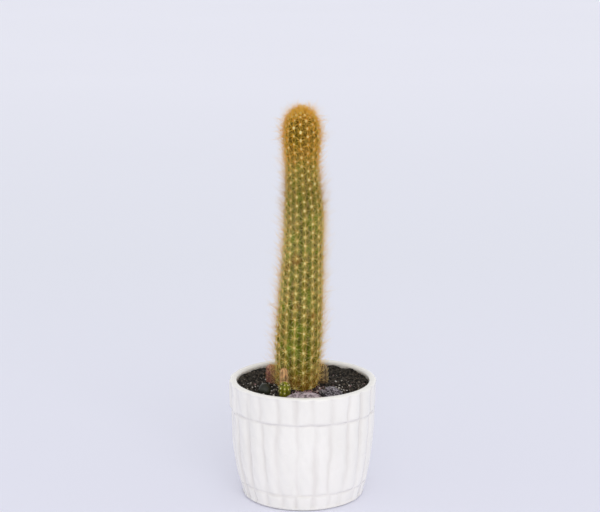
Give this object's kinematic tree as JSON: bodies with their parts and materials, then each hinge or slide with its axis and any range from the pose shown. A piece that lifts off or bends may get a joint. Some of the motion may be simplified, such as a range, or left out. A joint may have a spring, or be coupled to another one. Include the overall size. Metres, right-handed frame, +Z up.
{
  "type": "potted golden-spined columnar cactus",
  "caption": "Upright ribbed cactus with short golden spines and small offsets, standing in stony soil in a white glazed barrel-shaped pot.",
  "frame": {"origin": "on the pot's axis, at the surface that the pot stands on", "axes": "+Z up along the stem, -Y towards the side that the picture shows, +X to that side's right"},
  "size_m": [0.1198, 0.1196, 0.3187],
  "materials": {
    "pot_glaze": "glossy white glaze, slightly worn to grey in the carved grooves",
    "soil": "near-black crumbly peat with pale grit",
    "stem_skin": "satin olive-green skin",
    "spines_gold": "golden, slightly glossy spines",
    "bristles_pale": "pale translucent hair-like bristles",
    "areole_felt": "cream to tan felt",
    "offset_brown": "satin reddish-brown skin",
    "offset_tan": "satin tan skin",
    "offset_green": "satin fresh-green skin",
    "offset_olive": "satin olive-brown skin",
    "stone_pale": "matte lavender-grey pebble",
    "stone_dark": "rough purple-black stone with light seams",
    "stone_green": "smooth dark green-grey stone",
    "grit_pale": "matte white perlite grains",
    "grit_brown": "matte pinkish-brown grit"
  },
  "bodies": {
    "root": {"pot": "pot_glaze", "soil": "soil", "stem": "stem_skin", "offset_left": "offset_brown", "offset_tan": "offset_tan", "offset_green": "offset_green", "offset_right": "offset_olive", "stone_pale": "stone_pale", "stone_dark": "stone_dark", "stone_green": "stone_green"}
  },
  "joints": []
}
